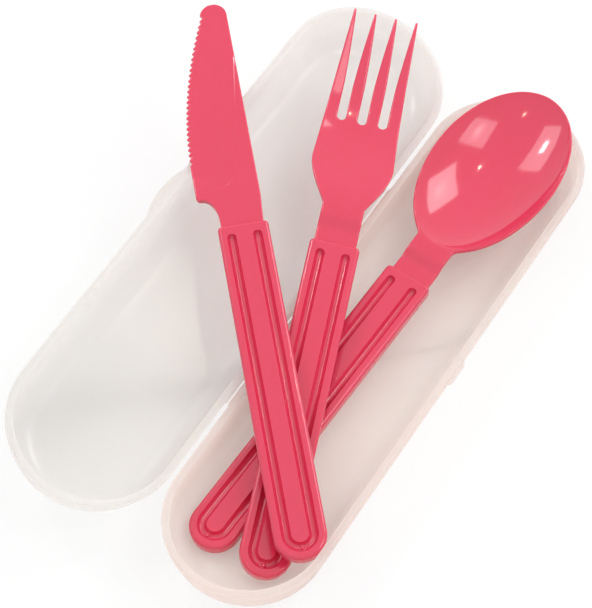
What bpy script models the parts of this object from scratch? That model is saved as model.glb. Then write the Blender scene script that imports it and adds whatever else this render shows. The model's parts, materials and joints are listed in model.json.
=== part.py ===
"""A picnic cutlery pack: knife, fork and spoon lying in an open hinged case.

Lengths are in metres and Z points up. The case lies open along Y, with its base
at the origin and its lid on the -X side. The two halves fold on a thin web, whose
spring holds the lid a little short of flat.
Each piece of cutlery is modelled flat, with its shoulder at the origin, and is
then lowered onto whatever carries it.
"""
import math

import bmesh
import bpy
from mathutils import Matrix, Vector
from mathutils.bvhtree import BVHTree

# Gap left between pieces that touch on the real object
CLEARANCE = 0.0003
# A piece starts this high above the table and sinks until it meets its support, which it
# feels for with points this far apart
START_HEIGHT = 0.08
FEELER_SPACING = 0.001

# How far a cutting tool runs on past what it cuts
CUT_PAST = 0.01

# The two halves of the case
BASE_LENGTH = 0.194
BASE_WIDTH = 0.0492
LID_OVERHANG = 0.0013
SHELL_DEPTH = 0.016
WALL = 0.0012
RIM_WIDTH = 0.0022
RIM_DROP = 0.0028
RIM_ROUND = 0.0004
FLOOR_FILLET = 0.008
WALL_DRAFT = 0.0004
END_STEPS = 18
FILLET_STEPS = 6

# The living hinge, the catch and the thumb tab
HINGE_GAP = 0.0014
LID_LIFT = 15.0
HINGE_LENGTH = 0.090
WEB_THICKNESS = 0.0006
WEB_ROOT = 0.0008
CATCH_LENGTH = 0.0084
CATCH_REACH = 0.0010
CATCH_ROOT = 0.0006
TAB_CHORD = 0.0200
TAB_REACH = 0.0018
TAB_THICKNESS = 0.0016
TAB_ROOT = 0.0012

# The handle that all three pieces share
HANDLE_LENGTH = 0.1055
HANDLE_WIDTH = 0.0152
HANDLE_THICKNESS = 0.0042
HANDLE_EDGE = 0.0008
SHOULDER_CORNER = 0.0014
LAND_WIDTH = 0.0050
GROOVE_WIDTH = 0.0027
GROOVE_DEPTH = 0.0015
GROOVE_START = 0.0032
GATE_RADIUS = 0.0006
GATE_HEIGHT = 0.0007

# The neck, which leaves the shoulder below the top of the handle
NECK_OVERLAP = 0.004
NECK_STEP = 0.0017
NECK_RISE = 0.0013
NECK_HALF_WIDTH = 0.0064
CRANK_START = 0.0045
CRANK_END = 0.0115

# The knife
KNIFE_HEAD = 0.0767
BLADE_THICKNESS = 0.0021
BLADE_SPINE = 0.0070
BLADE_BELLY = 0.0119
BLADE_HEEL = 0.0112
TOOTH_COUNT = 28
TOOTH_DEPTH = 0.00045
TEETH_START = 0.0226
TEETH_END = 0.0722
GRIND_DEPTH = 0.0009
GRIND_LINE = 0.0018
GRIND_HEEL = 0.0147
GRIND_CORNER = 0.0055
TIP_RADIUS = 0.0042
HEEL_RADIUS = 0.0013
HEEL_HOLLOW = 0.0052

# The fork
FORK_HEAD = 0.0793
FORK_THICKNESS = 0.0020
FORK_HALF_WIDTH = 0.0126
FORK_TIP_HALF_WIDTH = 0.0101
FORK_FLARE_START = 0.0125
FORK_FLARE_END = 0.0290
FORK_DIP = 0.0070
FORK_DISH = 0.0014
SLOT_PITCH = 0.0065
SLOT_WIDTH = 0.00275
SLOT_ROOT = 0.0442
TINE_TAPER = 0.0560
TINE_TIP = 0.0007

# The spoon
SPOON_HEAD = 0.077
SPOON_THICKNESS = 0.0018
BOWL_HALF_WIDTH = 0.0200
BOWL_CENTRE = 0.0465
BOWL_REAR = 0.0335
BOWL_DEPTH = 0.0078
BOWL_RIM = 0.93

# Where each piece lies: its butt, from the middle of the base and from the base's near end,
# its turn about Z and its roll on its length in degrees, and the distance from the butt at
# which a piece balances between its two supports
BALANCE = 0.062
SPOON_BUTT = (-0.0103, 0.0142)
SPOON_TURN = -3.4
SPOON_ROLL = 0.0
FORK_BUTT = (0.0105, 0.0141)
FORK_TURN = 20.3
FORK_ROLL = 8.0
KNIFE_BUTT = (0.0199, 0.0221)
KNIFE_TURN = 42.3
KNIFE_ROLL = -2.0

MILKY = (0.86, 0.85, 0.83, 0.55)
CORAL = (0.807, 0.080, 0.130, 1.0)


def clear_scene():
    for item in list(bpy.data.objects):
        bpy.data.objects.remove(item, do_unlink=True)


def make_collection(name, hidden=False):
    collection = bpy.data.collections.new(name)
    bpy.context.scene.collection.children.link(collection)
    collection.hide_render = hidden
    return collection


def give_material(thing, color, roughness):
    """Gives a finished piece a plastic of its own."""
    material = bpy.data.materials.new(thing.name + "_plastic")
    material.use_nodes = True
    shader = material.node_tree.nodes["Principled BSDF"]
    shader.inputs["Base Color"].default_value = color[:3] + (1.0,)
    shader.inputs["Alpha"].default_value = color[3]
    shader.inputs["Roughness"].default_value = roughness
    shader.inputs["Metallic"].default_value = 0.0
    thing.data.materials.clear()
    thing.data.materials.append(material)


def object_from(bm, name, collection):
    bmesh.ops.recalc_face_normals(bm, faces=bm.faces)
    mesh = bpy.data.meshes.new(name)
    bm.to_mesh(mesh)
    bm.free()
    made = bpy.data.objects.new(name, mesh)
    collection.objects.link(made)
    return made


def apply_modifiers(thing):
    graph = bpy.context.evaluated_depsgraph_get()
    mesh = bpy.data.meshes.new_from_object(thing.evaluated_get(graph))
    thing.modifiers.clear()
    thing.data = mesh


def combine(thing, tool, operation):
    """Joins the tool to the piece or cuts it away, and hides the tool."""
    step = thing.modifiers.new(operation.lower(), "BOOLEAN")
    step.operation = operation
    step.solver = "EXACT"
    step.object = tool
    apply_modifiers(thing)
    tool.hide_render = True
    tool.display_type = "WIRE"


def arc(centre, radius, start, end, steps):
    """Points on an arc in a plane, with both ends; the angles are in degrees."""
    points = []
    for step in range(steps + 1):
        angle = math.radians(start + (end - start) * step / steps)
        points.append((centre[0] + radius * math.cos(angle), centre[1] + radius * math.sin(angle)))
    return points


def prism(name, outline, low, high, collection):
    """A closed solid: the outline raised from one height to another."""
    bm = bmesh.new()
    face = bm.faces.new([bm.verts.new((x, y, low)) for x, y in outline])
    raised = bmesh.ops.extrude_face_region(bm, geom=[face])
    moved = [item for item in raised["geom"] if isinstance(item, bmesh.types.BMVert)]
    bmesh.ops.translate(bm, verts=moved, vec=(0.0, 0.0, high - low))
    return object_from(bm, name, collection)


def block(name, low, high, collection):
    """A box between two corners."""
    bm = bmesh.new()
    size = [b - a for a, b in zip(low, high)]
    middle = [(a + b) / 2 for a, b in zip(low, high)]
    matrix = Matrix.Translation(middle) @ Matrix.Diagonal(size + [1.0])
    bmesh.ops.create_cube(bm, size=1.0, matrix=matrix)
    return object_from(bm, name, collection)


def shell_section(width):
    """The wall in section, from the centre underneath, over the rim, to the centre inside."""
    rim_outer = width / 2
    rim_inner = rim_outer - RIM_WIDTH
    foot = rim_inner - WALL_DRAFT
    centre = (foot - FLOOR_FILLET, WALL + FLOOR_FILLET)
    under = arc(centre, FLOOR_FILLET + WALL, -90, 0, FILLET_STEPS)
    inside = arc(centre, FLOOR_FILLET, 0, -90, FILLET_STEPS)
    rim = [(rim_inner + WALL, SHELL_DEPTH - RIM_DROP), (rim_outer, SHELL_DEPTH - RIM_DROP)]
    rim += arc((rim_outer - RIM_ROUND, SHELL_DEPTH - RIM_ROUND), RIM_ROUND, 0, 90, 2)
    rim += arc((rim_inner + RIM_ROUND, SHELL_DEPTH - RIM_ROUND), RIM_ROUND, 90, 180, 2)
    return [(0.0, 0.0)] + under + rim + inside + [(0.0, WALL)]


def shell_body(name, length, width, collection):
    """A round-ended tray: one end is spun, drawn out to the middle, and mirrored."""
    straight = (length - width) / 2
    bm = bmesh.new()
    chain = [bm.verts.new((x, 0.0, z)) for x, z in shell_section(width)]
    edges = [bm.edges.new(pair) for pair in zip(chain, chain[1:])]
    bmesh.ops.spin(bm, geom=chain + edges, cent=(0, 0, 0), axis=(0, 0, 1), angle=math.pi, steps=END_STEPS)
    bmesh.ops.remove_doubles(bm, verts=bm.verts, dist=1e-6)
    bmesh.ops.translate(bm, verts=bm.verts, vec=(0.0, straight, 0.0))
    border = [edge for edge in bm.edges if edge.is_boundary]
    drawn = bmesh.ops.extrude_edge_only(bm, edges=border)
    moved = [item for item in drawn["geom"] if isinstance(item, bmesh.types.BMVert)]
    bmesh.ops.translate(bm, verts=moved, vec=(0.0, -straight, 0.0))
    made = object_from(bm, name, collection)
    mirror = made.modifiers.new("other_end", "MIRROR")
    mirror.use_axis = (False, True, False)
    mirror.merge_threshold = 0.00001
    apply_modifiers(made)
    return made


def add_web(shell, rim, side, tools):
    """Half of the living hinge, from the rim to its fold line."""
    fold = rim + HINGE_GAP / 2 - CLEARANCE / 2
    ends = sorted([side * (rim - WEB_ROOT), side * fold])
    low = (ends[0], -HINGE_LENGTH / 2, SHELL_DEPTH - RIM_ROUND - WEB_THICKNESS)
    high = (ends[1], HINGE_LENGTH / 2, SHELL_DEPTH - RIM_ROUND)
    combine(shell, block(shell.name + "_web", low, high, tools), "UNION")


def add_catch(shell, rim, tools):
    """The small block outside the rim that the lid's tab snaps over."""
    low = (rim - CATCH_ROOT, -CATCH_LENGTH / 2, SHELL_DEPTH - RIM_DROP + RIM_ROUND)
    high = (rim + CATCH_REACH, CATCH_LENGTH / 2, SHELL_DEPTH - 2 * RIM_ROUND)
    combine(shell, block(shell.name + "_catch", low, high, tools), "UNION")


def add_tab(shell, rim, tools):
    """The thumb tab: a slice of a flat disc that stands out past the rim."""
    radius = (TAB_CHORD ** 2 / 4 + TAB_REACH ** 2) / (2 * TAB_REACH)
    centre = rim + TAB_REACH - radius
    half = math.degrees(math.acos((rim - TAB_ROOT - centre) / radius))
    outline = [(-x, y) for x, y in arc((centre, 0.0), radius, -half, half, 14)]
    top = SHELL_DEPTH - RIM_ROUND
    combine(shell, prism(shell.name + "_tab", outline, top - TAB_THICKNESS, top, tools), "UNION")


def make_base(parts, tools):
    base = shell_body("base_shell", BASE_LENGTH, BASE_WIDTH, parts)
    add_web(base, BASE_WIDTH / 2, -1, tools)
    add_catch(base, BASE_WIDTH / 2, tools)
    return base


def make_lid(parts, tools):
    """The lid, wider than the base by its overhang, turned up about its origin on the fold line."""
    width = BASE_WIDTH + 2 * LID_OVERHANG
    lid = shell_body("lid_shell", BASE_LENGTH + 2 * LID_OVERHANG, width, parts)
    add_web(lid, width / 2, 1, tools)
    add_tab(lid, width / 2, tools)
    fold_height = SHELL_DEPTH + CLEARANCE / 2
    lid.data.transform(Matrix.Translation((-(width + HINGE_GAP) / 2, 0.0, -fold_height)))
    lid.location = (-(BASE_WIDTH + HINGE_GAP) / 2, 0.0, fold_height)
    lid.rotation_euler = (0.0, math.radians(LID_LIFT), 0.0)
    return lid


def handle_outline():
    half = HANDLE_WIDTH / 2
    corner = SHOULDER_CORNER
    butt = arc((0.0, half - HANDLE_LENGTH), half, 180, 360, 14)
    right = arc((half - corner, -corner), corner, 0, 90, 3)
    left = arc((corner - half, -corner), corner, 90, 180, 3)
    return butt + right + left


def make_handle(name, parts):
    """The plain handle with its long edges rounded."""
    handle = prism(name, handle_outline(), -HANDLE_THICKNESS, 0.0, parts)
    bm = bmesh.new()
    bm.from_mesh(handle.data)
    flat = [edge for edge in bm.edges if abs(edge.verts[0].co.z - edge.verts[1].co.z) < 1e-7]
    bmesh.ops.bevel(bm, geom=flat, offset=HANDLE_EDGE, segments=2, profile=0.5, affect="EDGES")
    bm.to_mesh(handle.data)
    bm.free()
    return handle


def groove_outline():
    """A hairpin: two long grooves that join round the butt end of the land."""
    inner = LAND_WIDTH / 2
    outer = inner + GROOVE_WIDTH
    middle = (inner + outer) / 2
    bend = HANDLE_WIDTH / 2 - HANDLE_LENGTH
    top = -GROOVE_START - GROOVE_WIDTH / 2
    around = arc((0.0, bend), outer, 180, 360, 14)
    right_end = arc((middle, top), GROOVE_WIDTH / 2, 0, 180, 6)
    back = arc((0.0, bend), inner, 360, 180, 10)
    left_end = arc((-middle, top), GROOVE_WIDTH / 2, 0, 180, 6)
    return around + right_end + back + left_end


def cut_groove(piece, tools):
    cutter = prism(piece.name + "_groove", groove_outline(), -GROOVE_DEPTH, CUT_PAST, tools)
    combine(piece, cutter, "DIFFERENCE")
    gate = bmesh.new()
    reach = (LAND_WIDTH + GROOVE_WIDTH) / 2
    spot = (0.0, HANDLE_WIDTH / 2 - HANDLE_LENGTH - reach, -GROOVE_DEPTH + GATE_HEIGHT / 2)
    bmesh.ops.create_cone(gate, cap_ends=True, segments=10, radius1=GATE_RADIUS, radius2=GATE_RADIUS,
                          depth=2 * GATE_HEIGHT, matrix=Matrix.Translation(spot))
    combine(piece, object_from(gate, piece.name + "_gate", tools), "UNION")


def ease(low, high, value):
    """Runs smoothly from 0 at low to 1 at high."""
    share = min(max((value - low) / (high - low), 0.0), 1.0)
    return share * share * (3 - 2 * share)


def neck_height(along):
    """The top of the neck: it leaves low, then cranks up towards the head."""
    return NECK_RISE * ease(CRANK_START, CRANK_END, along) - NECK_STEP


def sheet(name, length, half_width, height, thickness, counts, collection):
    """A moulded sheet: a grid bent to a plan and a height, then given its thickness."""
    bm = bmesh.new()
    bmesh.ops.create_grid(bm, x_segments=counts[0], y_segments=counts[1], size=0.5)
    for vert in bm.verts:
        across = 2 * vert.co.x
        share = math.sin((vert.co.y + 0.5) * math.pi / 2)
        along = (length + NECK_OVERLAP) * share - NECK_OVERLAP
        vert.co = (across * half_width(along), along, height(along, across))
    bmesh.ops.remove_doubles(bm, verts=bm.verts, dist=1e-6)
    made = object_from(bm, name, collection)
    top_up = sum((face.normal.z for face in made.data.polygons)) > 0
    solid = made.modifiers.new("thickness", "SOLIDIFY")
    solid.thickness = thickness
    solid.offset = -1.0 if top_up else 1.0
    apply_modifiers(made)
    return made


def fork_half_width(along):
    taper = (FORK_HALF_WIDTH - FORK_TIP_HALF_WIDTH) / (FORK_HEAD - FORK_FLARE_END)
    head = FORK_HALF_WIDTH - taper * (along - FORK_FLARE_END)
    share = min(max((along - FORK_FLARE_START) / (FORK_FLARE_END - FORK_FLARE_START), 0.0), 1.0)
    swell = math.sin(share * math.pi / 2) ** 1.5
    edge = min(head, FORK_HALF_WIDTH)
    return NECK_HALF_WIDTH + (edge - NECK_HALF_WIDTH) * swell


def fork_height(along, across):
    share = max((along - FORK_FLARE_START) / (FORK_HEAD - FORK_FLARE_START), 0.0)
    dip = FORK_DIP * math.sin(math.pi * share) ** 1.5 if share < 1 else 0.0
    dish = FORK_DISH * across * across * ease(FORK_FLARE_START, FORK_FLARE_END, along)
    return neck_height(along) - dip + dish * (1 - 0.5 * share)


def slot_outline(middle):
    """The space between two tines: parallel at its root, then flared to the tips."""
    root = SLOT_ROOT + SLOT_WIDTH / 2
    flare = SLOT_PITCH - SLOT_WIDTH - TINE_TIP
    end = FORK_HEAD + CUT_PAST
    bottom = [(middle + x, y) for x, y in arc((0.0, root), SLOT_WIDTH / 2, 180, 360, 8)]
    side = []
    for step in range(9):
        along = TINE_TAPER + (end - TINE_TAPER) * step / 8
        share = min((along - TINE_TAPER) / (FORK_HEAD - TINE_TAPER), 1.0)
        side.append((SLOT_WIDTH / 2 + flare / 2 * share ** 1.3, along))
    right = [(middle + x, y) for x, y in side]
    left = [(middle - x, y) for x, y in reversed(side)]
    return bottom + right + left


def bowl_share(along):
    """The bowl's breadth: 1 at its widest place, falling to 0 at both ends like an ellipse."""
    front = SPOON_HEAD - BOWL_CENTRE
    reach = front if along > BOWL_CENTRE else BOWL_REAR
    return math.sqrt(max(1 - ((along - BOWL_CENTRE) / reach) ** 2, 0.0))


def spoon_half_width(along):
    bowl = BOWL_HALF_WIDTH * bowl_share(along)
    if along > BOWL_CENTRE:
        return bowl
    return (bowl ** 6 + NECK_HALF_WIDTH ** 6) ** (1 / 6)


def spoon_height(along, across):
    """The dish sinks inside an ellipse a little smaller than the bowl, which leaves a flat rim."""
    breadth = bowl_share(along)
    side = across * spoon_half_width(along) / BOWL_HALF_WIDTH
    out = (1 - breadth ** 2 + side ** 2) / BOWL_RIM ** 2
    inside = 1.0 if along < BOWL_CENTRE - BOWL_REAR else max(1 - out, 0.0)
    return neck_height(along) - BOWL_DEPTH * inside ** 0.85 * min(1.0, breadth * 4)


def blade_edge(along):
    """How far the cutting edge lies from the middle: a long belly that runs up to the tip."""
    share = max((along - TEETH_START) / (KNIFE_HEAD - TEETH_START), 0.0)
    return (BLADE_BELLY + BLADE_SPINE * 0.6) * (1 - share ** 2.3) ** 0.72 - BLADE_SPINE * 0.6


def knife_outline():
    """The blade in plan: spine, round tip, teeth, plain heel and the hollow before the neck."""
    spine = [(BLADE_SPINE, -NECK_OVERLAP), (BLADE_SPINE, KNIFE_HEAD - TIP_RADIUS)]
    tip = arc((BLADE_SPINE - TIP_RADIUS, KNIFE_HEAD - TIP_RADIUS), TIP_RADIUS, 20, 110, 5)
    teeth = []
    pitch = (TEETH_END - TEETH_START) / TOOTH_COUNT
    for tooth in range(TOOTH_COUNT):
        top = TEETH_END - pitch * tooth
        for share, depth in ((0.0, 0.0), (0.3, 0.8), (0.5, 1.0), (0.7, 0.8)):
            along = top - pitch * share
            teeth.append((TOOTH_DEPTH * depth - blade_edge(along), along))
    teeth.append((-blade_edge(TEETH_START), TEETH_START))
    heel = arc((HEEL_RADIUS - BLADE_BELLY, BLADE_HEEL + HEEL_RADIUS), HEEL_RADIUS, 180, 262, 4)
    waist = arc((-NECK_HALF_WIDTH - HEEL_HOLLOW, BLADE_HEEL - HEEL_HOLLOW), HEEL_HOLLOW, 82, 0, 8)
    end = [(-NECK_HALF_WIDTH, -NECK_OVERLAP)]
    return spine + tip + teeth + heel + waist + end


def grind_blade(blade, tools):
    """Thins the blade towards its edge, which leaves a line along it and a curved step at the heel."""
    past_tip = KNIFE_HEAD + CUT_PAST
    past_edge = -BLADE_BELLY - CUT_PAST
    past_line = GRIND_LINE + GRIND_CORNER
    outline = [(past_line, past_tip), (past_edge, past_tip), (past_edge, GRIND_HEEL)]
    outline += arc((GRIND_LINE - GRIND_CORNER, GRIND_HEEL + GRIND_CORNER), GRIND_CORNER, -90, -10, 6)
    outline += [(past_line, GRIND_HEEL + GRIND_CORNER)]
    cutter = prism("knife_grind", outline, 0.0, CUT_PAST, tools)
    lean = math.atan2(GRIND_DEPTH, GRIND_LINE + BLADE_BELLY)
    pivot = Vector((GRIND_LINE, 0.0, -NECK_STEP))
    turn = Matrix.Translation(pivot) @ Matrix.Rotation(-lean, 4, "Y") @ Matrix.Translation((-GRIND_LINE, 0.0, 0.0))
    cutter.data.transform(turn)
    combine(blade, cutter, "DIFFERENCE")


def make_knife(parts, tools):
    knife = make_handle("knife", parts)
    blade = prism("knife_blade", knife_outline(), -NECK_STEP - BLADE_THICKNESS, -NECK_STEP, tools)
    grind_blade(blade, tools)
    combine(knife, blade, "UNION")
    cut_groove(knife, tools)
    return knife


def make_fork(parts, tools):
    fork = make_handle("fork", parts)
    head = sheet("fork_head", FORK_HEAD, fork_half_width, fork_height, FORK_THICKNESS, (16, 34), tools)
    for number in (-1, 0, 1):
        cutter = prism("fork_slot", slot_outline(number * SLOT_PITCH), -2 * CUT_PAST, 2 * CUT_PAST, tools)
        combine(head, cutter, "DIFFERENCE")
    combine(fork, head, "UNION")
    cut_groove(fork, tools)
    return fork


def make_spoon(parts, tools):
    spoon = make_handle("spoon", parts)
    head = sheet("spoon_head", SPOON_HEAD, spoon_half_width, spoon_height, SPOON_THICKNESS, (16, 34), tools)
    combine(spoon, head, "UNION")
    cut_groove(spoon, tools)
    return spoon


def edge_points(mesh, place):
    """Points every millimetre or so along all the edges of a mesh."""
    points = []
    for edge in mesh.edges:
        start, end = [place @ mesh.vertices[index].co for index in edge.vertices]
        parts = max(1, math.ceil((end - start).length / FEELER_SPACING))
        points += [start.lerp(end, step / parts) for step in range(parts)]
    return points


def tree_of(things):
    """Feeler points on the pieces, and all their faces in one search tree."""
    corners = []
    faces = []
    feelers = []
    for thing in things:
        start = len(corners)
        corners += [thing.matrix_world @ vert.co for vert in thing.data.vertices]
        faces += [[start + index for index in face.vertices] for face in thing.data.polygons]
        feelers += edge_points(thing.data, thing.matrix_world)
    return feelers, BVHTree.FromPolygons(corners, faces)


def closest_drop(piece, supports):
    """How far the piece can sink, and where along it (from its butt) it would touch."""
    points, tree = piece
    below, ground = supports
    nearest = (1.0, Vector((0.0, 0.0, 0.0)))
    for point in points:
        hit = ground.ray_cast(point, Vector((0.0, 0.0, -1.0)))
        if hit[0] is not None and hit[3] < nearest[0]:
            nearest = (hit[3], point)
    for point in below:
        hit = tree.ray_cast(point, Vector((0.0, 0.0, 1.0)))
        if hit[0] is not None and hit[3] < nearest[0]:
            nearest = (hit[3], point)
    return nearest


def pose(butt, turn, roll, pitch, lift):
    """Puts a flat piece over its place, rolled on its length, pitched up about its butt and lifted."""
    place = Matrix.Translation((butt[0], butt[1] - BASE_LENGTH / 2, lift))
    turned = Matrix.Rotation(math.radians(turn), 4, "Z") @ Matrix.Rotation(pitch, 4, "X")
    rolled = Matrix.Rotation(math.radians(roll), 4, "Y")
    return place @ turned @ rolled @ Matrix.Translation((0.0, HANDLE_LENGTH, 0.0))


def rest_on(piece, butt, turn, roll, supports):
    """Lowers a piece until it rests on two places, one on each side of its balance point."""
    carried = tree_of(supports)
    low, high = math.radians(-2.0), math.radians(16.0)
    heading = Vector((-math.sin(math.radians(turn)), math.cos(math.radians(turn)), 0.0))
    for _ in range(22):
        pitch = (low + high) / 2
        piece.matrix_world = pose(butt, turn, roll, pitch, START_HEIGHT)
        drop, point = closest_drop(tree_of([piece]), carried)
        reach = (point - piece.matrix_world @ Vector((0.0, -HANDLE_LENGTH, 0.0))).dot(heading)
        if reach > BALANCE:
            low = pitch
        else:
            high = pitch
    placed = pose(butt, turn, roll, pitch, START_HEIGHT - drop + CLEARANCE)
    piece.data.transform(placed)
    piece.matrix_world = Matrix.Identity(4)


def main():
    clear_scene()
    parts = make_collection("cutlery_pack")
    tools = make_collection("shaping_tools", hidden=True)
    base = make_base(parts, tools)
    lid = make_lid(parts, tools)
    bpy.context.view_layer.update()
    spoon = make_spoon(parts, tools)
    rest_on(spoon, SPOON_BUTT, SPOON_TURN, SPOON_ROLL, [base])
    fork = make_fork(parts, tools)
    rest_on(fork, FORK_BUTT, FORK_TURN, FORK_ROLL, [base, lid, spoon])
    knife = make_knife(parts, tools)
    rest_on(knife, KNIFE_BUTT, KNIFE_TURN, KNIFE_ROLL, [base, lid, spoon, fork])
    for piece in (base, lid):
        give_material(piece, MILKY, 0.35)
    for piece in (spoon, fork, knife):
        give_material(piece, CORAL, 0.18)


main()
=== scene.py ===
# %% [markdown]
# A picnic cutlery pack: a knife, a fork and a spoon of glossy coral plastic lie crossed in
# an open case of milky plastic.
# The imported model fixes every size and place. This script dresses it: each moulding gets a
# fine surface worked out with numpy, which stands for the coarse solid, and a plastic of its
# own. Lengths are in metres and Z points up.

# %% Load the fixed frame
import json
import math

import bmesh
import bpy
import numpy as np
from mathutils import Matrix, Vector


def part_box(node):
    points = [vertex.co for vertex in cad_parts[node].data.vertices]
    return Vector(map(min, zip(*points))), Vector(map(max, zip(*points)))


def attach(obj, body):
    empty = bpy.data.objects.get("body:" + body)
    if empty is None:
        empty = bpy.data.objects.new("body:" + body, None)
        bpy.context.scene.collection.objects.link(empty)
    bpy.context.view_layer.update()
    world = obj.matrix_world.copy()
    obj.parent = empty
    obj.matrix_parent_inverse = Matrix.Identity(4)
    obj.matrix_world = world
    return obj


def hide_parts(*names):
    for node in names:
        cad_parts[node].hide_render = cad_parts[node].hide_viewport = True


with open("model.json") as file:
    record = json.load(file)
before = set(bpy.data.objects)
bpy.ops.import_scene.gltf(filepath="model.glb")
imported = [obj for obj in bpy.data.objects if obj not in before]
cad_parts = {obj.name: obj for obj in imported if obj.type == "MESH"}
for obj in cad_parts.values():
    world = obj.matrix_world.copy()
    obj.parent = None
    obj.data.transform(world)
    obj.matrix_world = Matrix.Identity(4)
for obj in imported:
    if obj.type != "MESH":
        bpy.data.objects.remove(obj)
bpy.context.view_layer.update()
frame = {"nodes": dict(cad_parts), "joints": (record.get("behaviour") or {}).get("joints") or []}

# %% [markdown]
# The camera comes first, because every choice of detail depends on what it sees. It stands
# about 0.7 m away, high over the near end of the base, and looks down along the case with
# a long lens, so the two halves hardly converge.

# %% Camera
CAMERA_TURN = math.radians(32.23)
CAMERA_RISE = math.radians(57.24)
CAMERA_DISTANCE = 0.7141
CAMERA_AIM = Vector((-0.03285, 0.00417, -0.002))
LENS_MM = 138.8
SENSOR_MM = 36.0


def look_at(thing, place, aim):
    """Turns a camera or lamp so that its -Z runs from its place to the aim, with its top up."""
    thing.location = place
    thing.rotation_euler = (aim - place).to_track_quat("-Z", "Y").to_euler()


camera = bpy.data.objects.new("camera", bpy.data.cameras.new("camera"))
bpy.context.scene.collection.objects.link(camera)
camera.data.lens = LENS_MM
camera.data.sensor_width = SENSOR_MM
camera.data.clip_start = 0.01
direction = Vector((
    math.sin(CAMERA_TURN) * math.cos(CAMERA_RISE),
    -math.cos(CAMERA_TURN) * math.cos(CAMERA_RISE),
    math.sin(CAMERA_RISE),
))
look_at(camera, CAMERA_AIM + CAMERA_DISTANCE * direction, CAMERA_AIM)
bpy.context.scene.camera = camera
bpy.context.scene.view_settings.view_transform = "Standard"
print("camera at", [round(value, 3) for value in camera.location])

# %% [markdown]
# The case is one sheet of plastic pressed into two trays. Seen in section it is a flat
# floor, a round fillet, a wall and a rim that turns down outside. That section never
# changes, so each half is one profile carried round a round-ended path. A box with Bevel and
# Solidify modifiers comes close, but it has no lip, and its rounds can't be set one by one.

# %% Sizes of the case
BASE_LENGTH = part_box("base_shell")[1].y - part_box("base_shell")[0].y
SHELL_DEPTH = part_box("base_shell")[1].z
BASE_WIDTH = 0.0492
LID_OVERHANG = 0.0013
LID_LENGTH = BASE_LENGTH + 2 * LID_OVERHANG
LID_WIDTH = BASE_WIDTH + 2 * LID_OVERHANG
WALL = 0.0012
RIM_WIDTH = 0.0022
RIM_ROUND = 0.0004
RIM_TOP = SHELL_DEPTH - RIM_ROUND
RIM_LOW = SHELL_DEPTH - 0.0028
LIP_ROUND = 0.0003
FLOOR_FILLET = 0.0080
WALL_DRAFT = 0.0004
HINGE_GAP = 0.0014
HINGE_LENGTH = 0.090
WEB_THICKNESS = 0.0006
CLEARANCE = 0.0003
CATCH_LENGTH = 0.0084
CATCH_REACH = 0.0010
TAB_CHORD = 0.0200
TAB_REACH = 0.0018
TAB_THICKNESS = 0.0016
BAND_STEP = 0.00003
SOFT_END = 0.0009
LID_LIFT = math.radians(15.0)
print("case", round(BASE_LENGTH, 4), "long and", round(SHELL_DEPTH, 4), "deep")

# %% Arcs, soft steps and closed surfaces
MERGE_DISTANCE = 2e-6
CASE_SHARP = math.radians(35)
CUTLERY_SHARP = math.radians(40)


def arc(centre, radius, start, end, steps):
    """Points on a circle's arc, with both ends. Angles are in degrees."""
    angle = np.radians(np.linspace(start, end, steps + 1))
    return np.stack([centre[0] + radius * np.cos(angle), centre[1] + radius * np.sin(angle)], axis=1)


def smooth(value):
    """An S-shaped rise from 0 to 1: three times the square less twice the cube."""
    share = np.clip(value, 0, 1)
    return share * share * (3 - 2 * share)


def quads(rows, columns):
    """Faces of a grid whose columns close into a ring."""
    start = np.arange(rows - 1)[:, None] * columns + np.arange(columns)[None, :]
    beside = np.arange(rows - 1)[:, None] * columns + (np.arange(columns)[None, :] + 1) % columns
    return np.stack([start, beside, beside + columns, start + columns], axis=-1).reshape(-1, 4)


def surface(name, points, faces, sharp):
    """Makes a mesh object from a grid of points, with its poles closed and its normals outwards."""
    mesh = bpy.data.meshes.new(name)
    mesh.from_pydata(points.reshape(-1, 3), [], faces.tolist())
    bm = bmesh.new()
    bm.from_mesh(mesh)
    bmesh.ops.remove_doubles(bm, verts=bm.verts, dist=MERGE_DISTANCE)
    bmesh.ops.recalc_face_normals(bm, faces=bm.faces)
    bm.to_mesh(mesh)
    bm.free()
    mesh.shade_smooth()
    mesh.set_sharp_from_angle(angle=sharp)
    made = bpy.data.objects.new(name, mesh)
    bpy.context.scene.collection.objects.link(made)
    return made


def print_fit(piece, node):
    """Says how far the ends of a new piece's box lie from those of its solid's box."""
    ends = []
    for mesh in (piece.data, frame["nodes"][node].data):
        points = np.array([vertex.co[:] for vertex in mesh.vertices])
        ends.append(np.stack([points.min(0), points.max(0)]))
    worst = np.abs(ends[0] - ends[1]).max()
    print(node, "differs from its solid's box by", round(worst * 1000, 2), "mm")


# %% The path round a half of the case
def round_ended_path(straight):
    """Centre points and outward directions round a path of two half circles and two straights."""
    ends = np.radians(np.linspace(0, 180, 73))
    side = np.linspace(straight, -straight, 181)[1:-1]
    far = np.stack([0 * ends, 0 * ends + straight, np.cos(ends), np.sin(ends)], axis=1)
    left = np.stack([0 * side, side, 0 * side - 1, 0 * side], axis=1)
    near = np.stack([0 * ends, 0 * ends - straight, -np.cos(ends), -np.sin(ends)], axis=1)
    right = np.stack([0 * side, -side, 0 * side + 1, 0 * side], axis=1)
    path = np.concatenate([far, left, near, right])
    return path[:, :2], path[:, 2:]


# %% The section of the case
def band(low, high):
    """Heights that bound a band of the rim's outer face, with one more just past each end."""
    return [low - BAND_STEP, low, high, high + BAND_STEP]


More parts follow.
